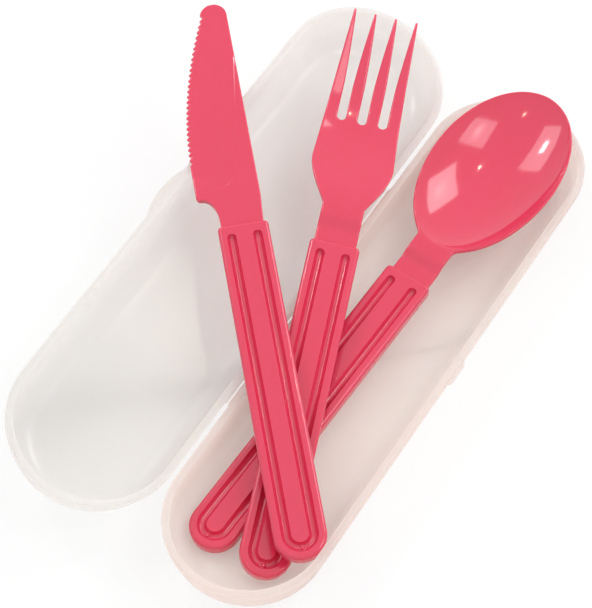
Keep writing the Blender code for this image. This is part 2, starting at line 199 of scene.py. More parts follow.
def shell_profile(width):
    """The section from the middle underneath, over the rim, to the middle inside."""
    outer = width / 2
    inner = outer - RIM_WIDTH
    foot = inner - WALL_DRAFT
    centre = (foot - FLOOR_FILLET, WALL + FLOOR_FILLET)
    tab = band(RIM_TOP - TAB_THICKNESS, RIM_TOP)
    web = band(RIM_TOP - WEB_THICKNESS, RIM_TOP)
    catch = band(RIM_LOW + RIM_ROUND, RIM_TOP - RIM_ROUND)
    heights = sorted(tab + web + catch)
    pieces = [
        np.stack([np.linspace(0, centre[0], 6)[:-1], np.zeros(5)], axis=1),
        arc(centre, FLOOR_FILLET + WALL, -90, 0, 18),
        arc((inner + WALL + LIP_ROUND, RIM_LOW), LIP_ROUND, 180, 90, 2),
        arc((outer - LIP_ROUND, RIM_LOW + LIP_ROUND), LIP_ROUND, -90, 0, 3),
        np.stack([np.full(len(heights), outer), heights], axis=1),
        arc((outer - RIM_ROUND, RIM_TOP), RIM_ROUND, 0, 90, 6),
        arc((inner + RIM_ROUND, RIM_TOP), RIM_ROUND, 90, 180, 6),
        arc(centre, FLOOR_FILLET, 0, -90, 18),
        np.stack([np.linspace(centre[0], 0, 6)[1:], np.full(5, WALL)], axis=1),
    ]
    return np.concatenate(pieces)


# %% [markdown]
# The web, the catch and the thumb tab all stand out sideways from the rim's outer face.
# They are not added blocks here: where one of them sits, its band of the profile is pushed
# outwards, so each half stays one closed skin, as it is when it leaves the mould.

# %% One half of the case
HAIR = 1e-7


def shell_points(length, width, pushes):
    """Rows of the profile times columns of the path. A push has its band's heights and amount."""
    centres, outwards = round_ended_path((length - width) / 2)
    profile = shell_profile(width)
    reach = np.repeat(profile[:, :1], len(centres), axis=1)
    on_face = np.abs(profile[:, 0] - width / 2) < HAIR
    for low, high, amount in pushes:
        inside = on_face & (profile[:, 1] > low - HAIR) & (profile[:, 1] < high + HAIR)
        reach[inside] = np.maximum(reach[inside], width / 2 + amount(centres, outwards)[None, :])
    flat = centres[None, :, :] + reach[:, :, None] * outwards[None, :, :]
    height = np.repeat(profile[:, 1:2], len(centres), axis=1)
    return np.concatenate([flat, height[:, :, None]], axis=2)


def on_side(outwards, side):
    """True along one straight of the path: side is -1 for the left and 1 for the right."""
    return outwards[:, 0] * side > 0.999


def stretch(side, length, reach):
    """An amount that is the same along the middle of one long side and fades at both ends."""
    def amount(centres, outwards):
        to_end = length / 2 - np.abs(centres[:, 1])
        return reach * smooth(to_end / SOFT_END + 0.5) * on_side(outwards, side)
    return amount


def thumb_slice(side):
    """The tab's amount: the part of a wide flat disc that stands out past the rim."""
    radius = (TAB_CHORD ** 2 / 4 + TAB_REACH ** 2) / (2 * TAB_REACH)

    def amount(centres, outwards):
        across = np.minimum(np.abs(centres[:, 1]), radius)
        out = np.sqrt(radius ** 2 - across ** 2) - radius + TAB_REACH
        return np.maximum(out, 0) * on_side(outwards, side)
    return amount


web_reach = (HINGE_GAP - CLEARANCE) / 2
base_points = shell_points(BASE_LENGTH, BASE_WIDTH, [
    (RIM_TOP - WEB_THICKNESS, RIM_TOP, stretch(-1, HINGE_LENGTH, web_reach)),
    (RIM_LOW + RIM_ROUND, RIM_TOP - RIM_ROUND, stretch(1, CATCH_LENGTH, CATCH_REACH)),
])
lid_points = shell_points(LID_LENGTH, LID_WIDTH, [
    (RIM_TOP - WEB_THICKNESS, RIM_TOP, stretch(1, HINGE_LENGTH, web_reach)),
    (RIM_TOP - TAB_THICKNESS, RIM_TOP, thumb_slice(-1)),
])
print("profile rows and path columns:", base_points.shape[:2])

# %% Base and lid in place
fold = Vector(frame["joints"][0]["pos_m"])
flat_lid = Matrix.Translation((-(LID_WIDTH + HINGE_GAP) / 2, 0, -SHELL_DEPTH - CLEARANCE / 2))
lid_place = Matrix.Translation(fold) @ Matrix.Rotation(LID_LIFT, 4, "Y") @ flat_lid
base_skin = surface("base_skin", base_points, quads(*base_points.shape[:2]), CASE_SHARP)
lid_skin = surface("lid_skin", lid_points, quads(*lid_points.shape[:2]), CASE_SHARP)
lid_skin.data.transform(lid_place)
print_fit(base_skin, "base_shell")
print_fit(lid_skin, "lid_shell")

# %% [markdown]
# Each piece of cutlery lies at its own slope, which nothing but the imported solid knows. Its
# place is read from the solid's faces: the flat top of the handle gives one direction, the
# long straight sides give another, and the butt gives the origin.

# %% Sizes that all three pieces share
HANDLE_LENGTH = 0.1055
HANDLE_WIDTH = 0.0152
HANDLE_THICKNESS = 0.0042
HANDLE_EDGE = 0.0008
TOP_ROUND = 0.0011
SHOULDER_CORNER = 0.0014
LAND_WIDTH = 0.0050
GROOVE_WIDTH = 0.0027
GROOVE_DEPTH = 0.0015
GROOVE_START = 0.0032
GROOVE_FULLNESS = 0.6
GATE_RADIUS = 0.0006
GATE_HEIGHT = 0.0007
NECK_OVERLAP = 0.004
NECK_STEP = 0.0017
NECK_RISE = 0.0013
NECK_HALF_WIDTH = 0.0064
CRANK_START = 0.0045
CRANK_END = 0.0092
print("handle", HANDLE_LENGTH, "long and", HANDLE_WIDTH, "wide")

# %% Where a piece of cutlery lies
UPWARD = 0.7
SIDEWAYS = 0.01


def busiest(normals, areas):
    """The direction that the largest area of faces shares."""
    group = np.unique(np.round(normals, 3), axis=0, return_inverse=True)[1].ravel()
    best = group == np.bincount(group, weights=areas).argmax()
    return np.average(normals[best], axis=0, weights=areas[best])


def place_of(node):
    """The matrix that carries a flat piece, shoulder at the origin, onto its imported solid."""
    mesh = frame["nodes"][node].data
    normals = np.array([face.normal[:] for face in mesh.polygons])
    areas = np.array([face.area for face in mesh.polygons])
    upper = normals[:, 2] > UPWARD
    z_axis = busiest(normals[upper], areas[upper])
    side = np.abs(normals @ z_axis) < SIDEWAYS
    x_axis = busiest(normals[side], areas[side])
    x_axis = x_axis * np.sign(x_axis[0])
    y_axis = np.cross(z_axis, x_axis)
    corners = np.array([vertex.co[:] for vertex in mesh.vertices])
    across = corners @ x_axis
    along = corners @ y_axis
    up = corners @ z_axis
    handle = along < along.min() + HANDLE_LENGTH * 0.9
    middle = (across[handle].min() + across[handle].max()) / 2
    origin = middle * x_axis + (along.min() + HANDLE_LENGTH) * y_axis + up[handle].max() * z_axis
    place = Matrix.Identity(4)
    for column, axis in enumerate((x_axis, y_axis, z_axis, origin)):
        for row in range(3):
            place[row][column] = float(axis[row])
    return place


places = {node: place_of(node) for node in ("knife", "fork", "spoon")}
for node, place in places.items():
    print(node, "shoulder at", [round(value * 1000, 1) for value in place.translation], "mm")

# %% [markdown]
# The three handles are the same: a flat bar with a round butt and a square shoulder, whose
# long edges are rounded. A hairpin groove leaves a raised land in the middle. A Boolean could
# cut the groove, but with hard edges that no mould leaves. Instead the surface is a set of
# rings between the handle's middle line and its outline, and the groove is a dip that depends
# only on the distance from the hairpin's own line.

# %% The handle's outline
def handle_outline():
    """Points round the handle, with the direction out of it at each."""
    half = HANDLE_WIDTH / 2
    corner = SHOULDER_CORNER
    bend = half - HANDLE_LENGTH
    butt = arc((0, bend), half, 180, 360, 60)
    rise = np.sin(np.linspace(0, np.pi / 2, 180))[1:-1]
    climb = bend + (-corner - bend) * rise
    right = np.stack([np.full(len(climb), half), climb], axis=1)
    right_corner = arc((half - corner, -corner), corner, 0, 90, 8)
    front = np.linspace([half - corner, 0], [corner - half, 0], 24)[1:-1]
    left_corner = arc((corner - half, -corner), corner, 90, 180, 8)
    left = right[::-1] * np.array([-1, 1])
    points = np.concatenate([butt, right, right_corner, front, left_corner, left])
    ahead = np.roll(points, -1, axis=0) - np.roll(points, 1, axis=0)
    outward = np.stack([ahead[:, 1], -ahead[:, 0]], axis=1)
    return points, outward / np.linalg.norm(outward, axis=1, keepdims=True)


def groove_dip(x, y):
    """Depth below the land: a round channel along the hairpin's line, less the pip of the gate."""
    half = HANDLE_WIDTH / 2
    middle = (LAND_WIDTH + GROOVE_WIDTH) / 2
    bend = half - HANDLE_LENGTH
    end = -GROOVE_START - GROOVE_WIDTH / 2
    beyond_end = np.maximum(y - end, 0)
    to_straight = np.hypot(np.abs(x) - middle, beyond_end)
    to_bend = np.abs(np.hypot(x, y - bend) - middle)
    away = np.where(y > bend, to_straight, to_bend)
    dip = GROOVE_DEPTH * np.clip(1 - (2 * away / GROOVE_WIDTH) ** 2, 0, 1) ** GROOVE_FULLNESS
    to_gate = np.hypot(x, y - (bend - middle))
    return dip - GATE_HEIGHT * smooth((1.4 * GATE_RADIUS - to_gate) / (0.8 * GATE_RADIUS))


# %% The handle's surface
def handle_points():
    """Rings from the middle line over the top, round the edges and back underneath."""
    outline, outward = handle_outline()
    half = HANDLE_WIDTH / 2
    middle = np.stack([0 * outline[:, 0], np.clip(outline[:, 1], half - HANDLE_LENGTH, -half)], axis=1)
    rim = outline - TOP_ROUND * outward
    foot = outline - HANDLE_EDGE * outward
    rings = []
    for share in np.linspace(0, 1, 64):
        flat = middle + (rim - middle) * share
        rings.append(np.column_stack([flat, -groove_dip(flat[:, 0], flat[:, 1])]))
    for angle in np.radians(np.linspace(15, 90, 6)):
        flat = rim + TOP_ROUND * math.sin(angle) * outward
        rings.append(np.column_stack([flat, np.full(len(flat), TOP_ROUND * (math.cos(angle) - 1))]))
    for angle in np.radians(np.linspace(0, 90, 7)):
        flat = foot + HANDLE_EDGE * math.cos(angle) * outward
        depth = HANDLE_THICKNESS - HANDLE_EDGE * (1 - math.sin(angle))
        rings.append(np.column_stack([flat, np.full(len(flat), -depth)]))
    for share in (0.75, 0.5, 0.25, 0.0):
        flat = middle + (foot - middle) * share
        rings.append(np.column_stack([flat, np.full(len(flat), -HANDLE_THICKNESS)]))
    return np.stack(rings)


handle = handle_points()
print("handle rings and columns:", handle.shape[:2])

# %% [markdown]
# The heads are moulded sheets: a left and a right edge, a top and an underside, all worked
# out along the piece. Each sheet closes into a loop at every station. Near its edges the top
# sinks and the underside rises along a quarter circle, which gives the small round that a
# mould leaves.

# %% A closed moulded sheet
def edge_round(distance, radius):
    """How far a face moves in near an edge, for a quarter circle of this radius."""
    inside = np.clip(radius - distance, 0, radius)
    return radius - np.sqrt(radius ** 2 - inside ** 2)


def closed_sheet(x, y, top, under, shut_left=None, shut_right=None):
    """Points and faces of a sheet with walls and end caps. Shut rows have no wall on that side."""
    rows, columns = x.shape
    over = np.stack([x, y, top], axis=2)
    back = np.stack([x, y, under], axis=2)[:, ::-1]
    points = np.concatenate([over, back], axis=1)
    faces = quads(rows, 2 * columns).reshape(rows - 1, 2 * columns, 4)
    keep = np.ones(faces.shape[:2], dtype=bool)
    if shut_right is not None:
        keep[:, columns - 1] = ~shut_right[1:]
    if shut_left is not None:
        keep[:, 2 * columns - 1] = ~shut_left[1:]
    step = np.arange(columns - 1)
    cap = np.stack([step, step + 1, 2 * columns - 2 - step, 2 * columns - 1 - step], axis=1)
    caps = np.concatenate([cap, cap + (rows - 1) * 2 * columns])
    return points.reshape(-1, 3), np.concatenate([faces[keep], caps])


# %% [markdown]
# The spoon's bowl is a dished ellipse on a cranked neck. A sculpted bowl would leave uneven
# highlights, and gloss shows every one. So its depth is one formula of how far a point lies
# from the bowl's middle, and the lamps' reflections come out clean.

# %% Neck and spoon
SPOON_HEAD = 0.077
SPOON_THICKNESS = 0.0018
SPOON_EDGE = 0.0006
BOWL_HALF_WIDTH = 0.0200
BOWL_CENTRE = 0.0465
BOWL_REAR = 0.0335
BOWL_DEPTH = 0.0078
BOWL_FULLNESS = 0.85
BOWL_RIM = 0.985
NECK_BLEND = 6


def neck_height(along):
    """The neck leaves low in the shoulder and cranks up towards the head."""
    return NECK_RISE * smooth((along - CRANK_START) / (CRANK_END - CRANK_START)) - NECK_STEP


def bowl_share(along):
    """The bowl's breadth: 1 at its widest place and 0 at both ends, like an ellipse."""
    reach = np.where(along > BOWL_CENTRE, SPOON_HEAD - BOWL_CENTRE, BOWL_REAR)
    return np.sqrt(np.clip(1 - ((along - BOWL_CENTRE) / reach) ** 2, 0, 1))


def spoon_half_width(along):
    """The bowl's ellipse, blended into the neck behind it by the root of a sum of powers."""
    bowl = BOWL_HALF_WIDTH * bowl_share(along)
    joined = (bowl ** NECK_BLEND + NECK_HALF_WIDTH ** NECK_BLEND) ** (1 / NECK_BLEND)
    return np.where(along > BOWL_CENTRE, bowl, joined)


def spoon_height(along, x):
    """The dish sinks inside an ellipse a little smaller than the bowl, which leaves a flat rim."""
    breadth = bowl_share(along)
    out = (1 - breadth ** 2 + (x / BOWL_HALF_WIDTH) ** 2) / BOWL_RIM ** 2
    inside = np.where(along < BOWL_CENTRE - BOWL_REAR, 0, np.clip(1 - out, 0, 1))
    return neck_height(along) - BOWL_DEPTH * inside ** BOWL_FULLNESS * np.minimum(1, breadth * 4)


def spoon_sheet():
    """Stations crowd together towards the tip, and columns towards the edges."""
    neck = np.linspace(-NECK_OVERLAP, 0, 6)[:-1]
    along = np.concatenate([neck, SPOON_HEAD * np.sin(np.linspace(0, np.pi / 2, 170))])
    half = spoon_half_width(along)
    slope = np.gradient(half, along)
    share = -np.cos(np.linspace(0, np.pi, 90))
    x = half[:, None] * share[None, :]
    y = np.repeat(along[:, None], len(share), axis=1)
    distance = (half[:, None] - np.abs(x)) / np.sqrt(1 + slope ** 2)[:, None]
    drop = edge_round(distance, SPOON_EDGE)
    top = spoon_height(y, x)
    return closed_sheet(x, y, top - drop, top - SPOON_THICKNESS + drop)


spoon_points, spoon_faces = spoon_sheet()
print("spoon head:", len(spoon_faces), "faces")

# %% [markdown]
# The fork's head has three slots between four tines. Slots cut by a Boolean would lose the
# small round along their edges, so the head is made as four strips. Behind the slots the
# strips share their edges and merge into one sheet. Where a slot opens, its half width grows
# like a half circle, and past that it flares towards the tips.

# %% Fork
FORK_HEAD = 0.0793
FORK_THICKNESS = 0.0020
FORK_EDGE = 0.0005
FORK_HALF_WIDTH = 0.0126
FORK_TIP_HALF_WIDTH = 0.0101
FORK_FLARE_START = 0.0125
FORK_FLARE_END = 0.0290
FORK_DIP = 0.0070
FORK_DISH = 0.0014
SLOT_PITCH = 0.0065
SLOT_WIDTH = 0.00275
SLOT_ROOT = 0.0442
TINE_TAPER = 0.0560
TINE_TIP = 0.0007
SLOT_MIDDLES = SLOT_PITCH * np.array([-1, 0, 1])
FLARE_CURVE = 1.1
DIP_CURVE = 1.5
TAPER_CURVE = 1.3
DENSE = 0.0015


def fork_half_width(along):
    """The neck flares into the head, which narrows again towards the tips."""
    taper = (FORK_HALF_WIDTH - FORK_TIP_HALF_WIDTH) / (FORK_HEAD - FORK_FLARE_END)
    head = np.minimum(FORK_HALF_WIDTH - taper * (along - FORK_FLARE_END), FORK_HALF_WIDTH)
    share = np.clip((along - FORK_FLARE_START) / (FORK_FLARE_END - FORK_FLARE_START), 0, 1)
    return NECK_HALF_WIDTH + (head - NECK_HALF_WIDTH) * np.sin(share * np.pi / 2) ** FLARE_CURVE


def fork_height(along, across):
    """The head sinks in a long curve and rises to the tips, and its edges stand up a little."""
    share = np.clip((along - FORK_FLARE_START) / (FORK_HEAD - FORK_FLARE_START), 0, 1)
    dip = FORK_DIP * np.sin(np.pi * share) ** DIP_CURVE
    flare = smooth((along - FORK_FLARE_START) / (FORK_FLARE_END - FORK_FLARE_START))
    return neck_height(along) - dip + FORK_DISH * across ** 2 * flare * (1 - 0.5 * share)


def slot_half_width(along):
    """Nothing behind the root, a half circle at the root, then a slow flare to the tips."""
    radius = SLOT_WIDTH / 2
    into = np.clip(along - SLOT_ROOT, 0, radius)
    opening = np.sqrt(radius ** 2 - (radius - into) ** 2)
    share = np.clip((along - TINE_TAPER) / (FORK_HEAD - TINE_TAPER), 0, 1)
    return opening + (SLOT_PITCH - SLOT_WIDTH - TINE_TIP) / 2 * share ** TAPER_CURVE


def fork_edge_distance(x, along):
    """The shortest way to the outline, to a slot or to the tips."""
    distance = np.minimum(fork_half_width(along) - np.abs(x), FORK_HEAD - along)
    end = SLOT_ROOT + SLOT_WIDTH / 2
    for middle in SLOT_MIDDLES:
        beside = np.abs(x - middle) - slot_half_width(along)
        behind = np.hypot(x - middle, along - end) - SLOT_WIDTH / 2
        distance = np.minimum(distance, np.where(along > end, beside, behind))
    return np.maximum(distance, 0)


def fork_rows():
    """Stations along the head, close together at the slots' roots and the tips."""
    radius = SLOT_WIDTH / 2
    return np.concatenate([
        np.linspace(-NECK_OVERLAP, SLOT_ROOT - DENSE, 70)[:-1],
        np.linspace(SLOT_ROOT - DENSE, SLOT_ROOT, 13)[:-1],
        SLOT_ROOT + radius * (1 - np.cos(np.linspace(0, np.pi / 2, 14))),
        np.linspace(SLOT_ROOT + radius, FORK_HEAD - DENSE / 2, 50)[1:-1],
        np.linspace(FORK_HEAD - DENSE / 2, FORK_HEAD, 9),
    ])


def fork_sheet():
    """The four strips with their walls. Behind the slots, neighbours have no wall between them."""
    rows = fork_rows()
    slot = slot_half_width(rows)
    whole = rows <= SLOT_ROOT + 1e-9
    outer = fork_half_width(rows)
    shrink = np.where(rows < FORK_FLARE_END, outer / FORK_HALF_WIDTH, 1.0)
    lefts = [-outer] + [shrink * middle + slot for middle in SLOT_MIDDLES]
    rights = [shrink * middle - slot for middle in SLOT_MIDDLES] + [outer]
    share = (1 - np.cos(np.linspace(0, np.pi, 22)))[None, :] / 2
    points = []
    faces = []
    for number, (left, right) in enumerate(zip(lefts, rights)):
        x = left[:, None] + (right - left)[:, None] * share
        y = np.repeat(rows[:, None], x.shape[1], axis=1)
        drop = edge_round(fork_edge_distance(x, y), FORK_EDGE)
        drop = np.minimum(drop, 0.9 * FORK_EDGE)
        top = fork_height(y, x / outer[:, None])
        shut_left = whole if number > 0 else None
        shut_right = whole if number < 3 else None
        made, cells = closed_sheet(x, y, top - drop, top - FORK_THICKNESS + drop, shut_left, shut_right)
        faces.append(cells + sum(len(part) for part in points))
        points.append(made)
    return np.concatenate(points), np.concatenate(faces)


fork_points, fork_faces = fork_sheet()
print("fork head:", len(fork_faces), "faces")

# %% [markdown]
# The knife's blade is flat, with a straight spine and a belly that is ground thinner towards
# its teeth. An array of small cutters could make the teeth, but each would need its own turn
# on the curved edge. Here the teeth simply move the edge in and out along the blade.

# %% Knife
KNIFE_HEAD = 0.0767
BLADE_THICKNESS = 0.0021
BLADE_ROUND = 0.0003
BLADE_SPINE = 0.0070
BLADE_BELLY = 0.0122
BELLY_RISE = 0.0127
BELLY_CURVE = 1.9
BLADE_HEEL = 0.0102
HEEL_RADIUS = 0.0013
HEEL_HOLLOW = BLADE_BELLY - HEEL_RADIUS - NECK_HALF_WIDTH
HOLLOW_LENGTH = 0.0076
TIP_RADIUS = 0.0042
TIP_END = math.radians(165)
TOOTH_COUNT = 28
TOOTH_DEPTH = 0.0008
TEETH_START = 0.0226
TEETH_END = 0.0734
GRIND_DEPTH = 0.0009
GRIND_LINE = 0.0021
GRIND_LEAN = 0.14
GRIND_HEEL = 0.0125
GRIND_CORNER = 0.0070
GRIND_SOFT = 0.0004
GRIND_STEP = 0.00012
GRIND_FADE = 0.0060


def blade_belly(along):
    """How far the edge lies from the middle: a long belly that runs up to the tip."""
    share = np.clip((along - TEETH_START) / (KNIFE_HEAD - TEETH_START), 0, 1)
    return BLADE_BELLY - BELLY_RISE * share ** BELLY_CURVE


def blade_left(along):
    """The edge's side of the outline: neck, hollow, round heel, plain stretch, teeth and tip."""
    hollow = np.clip((along - BLADE_HEEL) / HOLLOW_LENGTH + 1, 0, 1)
    waist = NECK_HALF_WIDTH + HEEL_HOLLOW * (1 - np.sqrt(1 - hollow ** 2))
    corner = np.clip(BLADE_HEEL + HEEL_RADIUS - along, 0, HEEL_RADIUS)
    heel = BLADE_BELLY - HEEL_RADIUS + np.sqrt(HEEL_RADIUS ** 2 - corner ** 2)
    edge = np.where(along < BLADE_HEEL, waist, np.minimum(heel, blade_belly(along)))
    cycle = (TEETH_END - along) / (TEETH_END - TEETH_START) * TOOTH_COUNT
    toothed = (along > TEETH_START) & (along < TEETH_END)
    left = np.where(toothed, TOOTH_DEPTH * (1 - np.abs(2 * (cycle % 1) - 1)), 0) - edge
    tip_x = BLADE_SPINE - TIP_RADIUS * (1 - math.cos(TIP_END))
    tip_y = KNIFE_HEAD - TIP_RADIUS * (1 - math.sin(TIP_END))
    run_in = np.interp(along, [TEETH_END, tip_y], [-blade_belly(TEETH_END), tip_x])
    into = np.clip(along - KNIFE_HEAD + TIP_RADIUS, 0, TIP_RADIUS)
    round_tip = BLADE_SPINE - TIP_RADIUS - np.sqrt(TIP_RADIUS ** 2 - into ** 2)
    past_teeth = np.where(along < tip_y, run_in, round_tip)
    return np.where(along < TEETH_END, left, past_teeth)


def blade_right(along):
    """The straight back of the blade, which starts at the neck and is rounded off at the tip."""
    into = np.clip(along - KNIFE_HEAD + TIP_RADIUS, 0, TIP_RADIUS)
    back = BLADE_SPINE - TIP_RADIUS + np.sqrt(TIP_RADIUS ** 2 - into ** 2)
    neck = NECK_HALF_WIDTH + (BLADE_SPINE - NECK_HALF_WIDTH) * smooth(along / BLADE_HEEL)
    return np.minimum(back, neck)


def blade_top(x, along):
    """The flat, and the ground face that falls away past a leaning line and a curve at the heel."""
    past_line = GRIND_LINE + GRIND_LEAN * (along - TEETH_START) - x
    corner_x = np.maximum(GRIND_CORNER - past_line, 0)
    corner_y = np.maximum(GRIND_CORNER - along + GRIND_HEEL, 0)
    inside = GRIND_CORNER - np.hypot(corner_x, corner_y)
    fall = GRIND_DEPTH * np.clip(past_line / (GRIND_LINE + BLADE_BELLY), 0, 1)
    step = GRIND_STEP * smooth(inside / GRIND_SOFT)
    return -NECK_STEP - step - (fall - GRIND_STEP) * smooth(inside / GRIND_FADE)


def blade_sheet():
    """Stations follow every tooth, and crowd together at the heel and round the tip."""
    quarter = np.linspace(0, np.pi / 2, 16)
    tip_start = math.asin(1 - (KNIFE_HEAD - TEETH_END) / TIP_RADIUS)
    along = np.concatenate([
        np.linspace(-NECK_OVERLAP, BLADE_HEEL - HOLLOW_LENGTH, 20)[:-1],
        BLADE_HEEL - HOLLOW_LENGTH * (1 - np.sin(quarter[:-1])),
        BLADE_HEEL + HEEL_RADIUS * (1 - np.cos(quarter[:-1])),
        np.linspace(BLADE_HEEL + HEEL_RADIUS, TEETH_START, 40)[:-1],
        np.linspace(TEETH_START, TEETH_END, TOOTH_COUNT * 10 + 1),
        KNIFE_HEAD - TIP_RADIUS * (1 - np.sin(np.linspace(tip_start, np.pi / 2, 40)[1:])),
    ])
    left = blade_left(along)
    right = blade_right(along)
    share = (1 - np.cos(np.linspace(0, np.pi, 48))) / 2
    x = left[:, None] + (right - left)[:, None] * share[None, :]
    y = np.repeat(along[:, None], len(share), axis=1)
    to_side = np.minimum(x - left[:, None], right[:, None] - x)
    drop = edge_round(np.minimum(to_side, KNIFE_HEAD - y), BLADE_ROUND)
    return closed_sheet(x, y, blade_top(x, y) - drop, drop - NECK_STEP - BLADE_THICKNESS)


blade_points, blade_faces = blade_sheet()
print("blade:", len(blade_faces), "faces")

# %% [markdown]
# Handle and head come out of one mould, so they are joined into one closed skin. The union
# leaves a crisp line where the neck enters the shoulder, as on the real pieces.

# %% Whole pieces of cutlery
def cutlery(name, points, faces):
    """One piece: its handle and head joined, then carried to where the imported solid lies."""
    piece = surface(name + "_piece", handle, quads(*handle.shape[:2]), CUTLERY_SHARP)
    head = surface(name + "_head", points, faces, CUTLERY_SHARP)
    union = piece.modifiers.new("union", "BOOLEAN")
    union.operation = "UNION"
    union.solver = "EXACT"
    union.object = head
    graph = bpy.context.evaluated_depsgraph_get()
    mesh = bpy.data.meshes.new_from_object(piece.evaluated_get(graph))
    piece.modifiers.clear()
    piece.data = mesh
    bpy.data.objects.remove(head)
    mesh.set_sharp_from_angle(angle=CUTLERY_SHARP)
    mesh.transform(places[name])
    print(name, len(mesh.polygons), "faces")
    print_fit(piece, name)
    return piece


knife = cutlery("knife", blade_points, blade_faces)
fork = cutlery("fork", fork_points, fork_faces)
spoon = cutlery("spoon", spoon_points, spoon_faces)

# %% [markdown]
# Shader arithmetic reads like ordinary sums with this small class: each sum on a Value adds
# the nodes that work it out, so a material is written as a formula.

# %% Values in a shader
class Value:
    """A number that a material works out at each point of a surface."""

    def __init__(self, tree, socket):
        self.tree = tree
        self.socket = socket

    def sum(self, operation, first, second):
        """A new Value from a maths node. Either side may be a plain number."""
        node = self.tree.nodes.new("ShaderNodeMath")
        node.operation = operation
        for slot, value in zip(node.inputs, (first, second)):
            if isinstance(value, Value):
                self.tree.links.new(value.socket, slot)
            else:
                slot.default_value = value
        return Value(self.tree, node.outputs[0])

    def __add__(self, other):
        return self.sum("ADD", self, other)

    def __radd__(self, other):
        return self.sum("ADD", other, self)

    def __sub__(self, other):
        return self.sum("SUBTRACT", self, other)

    def __rsub__(self, other):
        return self.sum("SUBTRACT", other, self)

    def __mul__(self, other):
        return self.sum("MULTIPLY", self, other)

    def __rmul__(self, other):
        return self.sum("MULTIPLY", other, self)

    def within(self, low, high):
        """The value kept between two numbers."""
        return self.sum("MINIMUM", self.sum("MAXIMUM", self, low), high)


class Look:
    """A material that is being made, with short ways to add nodes to it."""

    def __init__(self, name):
        self.material = bpy.data.materials.new(name)
        self.material.use_nodes = True
        self.tree = self.material.node_tree
        self.tree.nodes.clear()

    def node(self, kind, settings=(), inputs=()):
        """Any node by type, with settings and input values or Values by name."""
        made = self.tree.nodes.new(kind)
        for name, value in dict(settings).items():
            setattr(made, name, value)
        for name, value in dict(inputs).items():
            if isinstance(value, Value):
                self.tree.links.new(value.socket, made.inputs[name])
            else:
                made.inputs[name].default_value = value
        return made

    def out(self, node, name):
        """One of a node's outputs as a Value."""
        return Value(self.tree, node.outputs[name])

    def noise(self, scale, detail=2.0, stretch=(1.0, 1.0, 1.0), turn=0.0):
        """A cloudy value between 0 and 1 in the object's own space, in cycles per metre."""
        place = self.out(self.node("ShaderNodeTexCoord"), "Object")
        mapped = self.node("ShaderNodeMapping", {}, {
            "Vector": place, "Rotation": (0, 0, turn), "Scale": stretch})
        cloud = self.node("ShaderNodeTexNoise", {}, {
            "Vector": self.out(mapped, "Vector"), "Scale": scale, "Detail": detail})
        return self.out(cloud, "Fac")

    def tint(self, share, first, second):
        """A colour that runs from the first to the second as the share runs from 0 to 1."""
        mixed = self.node("ShaderNodeMix", {"data_type": "RGBA"})
        self.tree.links.new(share.socket, mixed.inputs["Factor"])
        mixed.inputs[6].default_value = (*first, 1)
        mixed.inputs[7].default_value = (*second, 1)
        return Value(self.tree, mixed.outputs[2])

    def relief(self, height, depth):
        """A bump normal from a height Value whose unit stands for this depth in metres."""
        bump = self.node("ShaderNodeBump", {}, {"Height": height, "Distance": depth, "Strength": 1.0})
        return self.out(bump, "Normal")

    def finish(self, shader):
        """Sends the last shader to the surface."""
        output = self.node("ShaderNodeOutputMaterial")
        self.tree.links.new(shader.outputs[0], output.inputs["Surface"])
        return self.material


# %% [markdown]
# The case is polypropylene: milky, with light that spreads a little inside the wall before
# it comes out again. Pressed plastic is never quite even, so its tone, its gloss and its
# surface all drift slowly, and a fine grain breaks up the highlights.

# %% Milky plastic
CASE_PALE = (0.965, 0.950, 0.935)
LID_TINT = (0.950, 0.930, 0.905)
# The base's tint is warmer than the lid's: painted warm light, as bounced inside the deep tray.
BASE_TINT_WITH_PAINTED_WARMTH = (0.975, 0.895, 0.845)
CASE_THROUGH = 0.45
CASE_BODY = 0.46
CASE_DRIFT = 22.0
CASE_GRAIN = 900.0
CASE_WAVES = 60.0
RELIEF_UNIT = 0.0000016


def milky_plastic(name, tint):
    """Off-white plastic of the case, drifting towards this half's tint, which on the base is painted
    warm light.
    """
    look = Look(name)
    drift = look.noise(CASE_DRIFT, 3.0)
    grain = look.noise(CASE_GRAIN, 3.0)
    colour = look.tint((1.6 * drift - 0.3).within(0.0, 1.0), CASE_PALE, tint)
    skin = look.node("ShaderNodeBsdfPrincipled", {}, {
        "Base Color": colour,
        "Roughness": 0.12 + 0.10 * drift + 0.03 * grain,
        "Subsurface Weight": 0.55,
        "Subsurface Radius": (1.0, 0.85, 0.7),
        "Subsurface Scale": 0.0022,
        "IOR": 1.49,
        "Specular IOR Level": 1.0,
        "Alpha": CASE_BODY,
        "Normal": look.relief(0.4 * grain + 30.0 * look.noise(CASE_WAVES), RELIEF_UNIT),
    })
    through = look.node("ShaderNodeBsdfTranslucent", {}, {"Color": (*tint, 1)})
    both = look.node("ShaderNodeMixShader", {}, {"Fac": CASE_THROUGH})
    look.tree.links.new(skin.outputs[0], both.inputs[1])
    look.tree.links.new(through.outputs[0], both.inputs[2])
    return look.finish(both)


# %% [markdown]
# The cutlery is a solid, glossy coral plastic. Polystyrene flows along the mould, which
# leaves faint streaks along the piece, and handling leaves its gloss a little uneven.

# %% Coral plastic
CORAL = (0.732, 0.036, 0.106)
CORAL_DEEP = (0.692, 0.031, 0.081)
CORAL_DRIFT = 45.0
CORAL_GRAIN = 1300.0
CORAL_WAVES = 110.0
FLOW_STREAKS = (700.0, 25.0, 700.0)


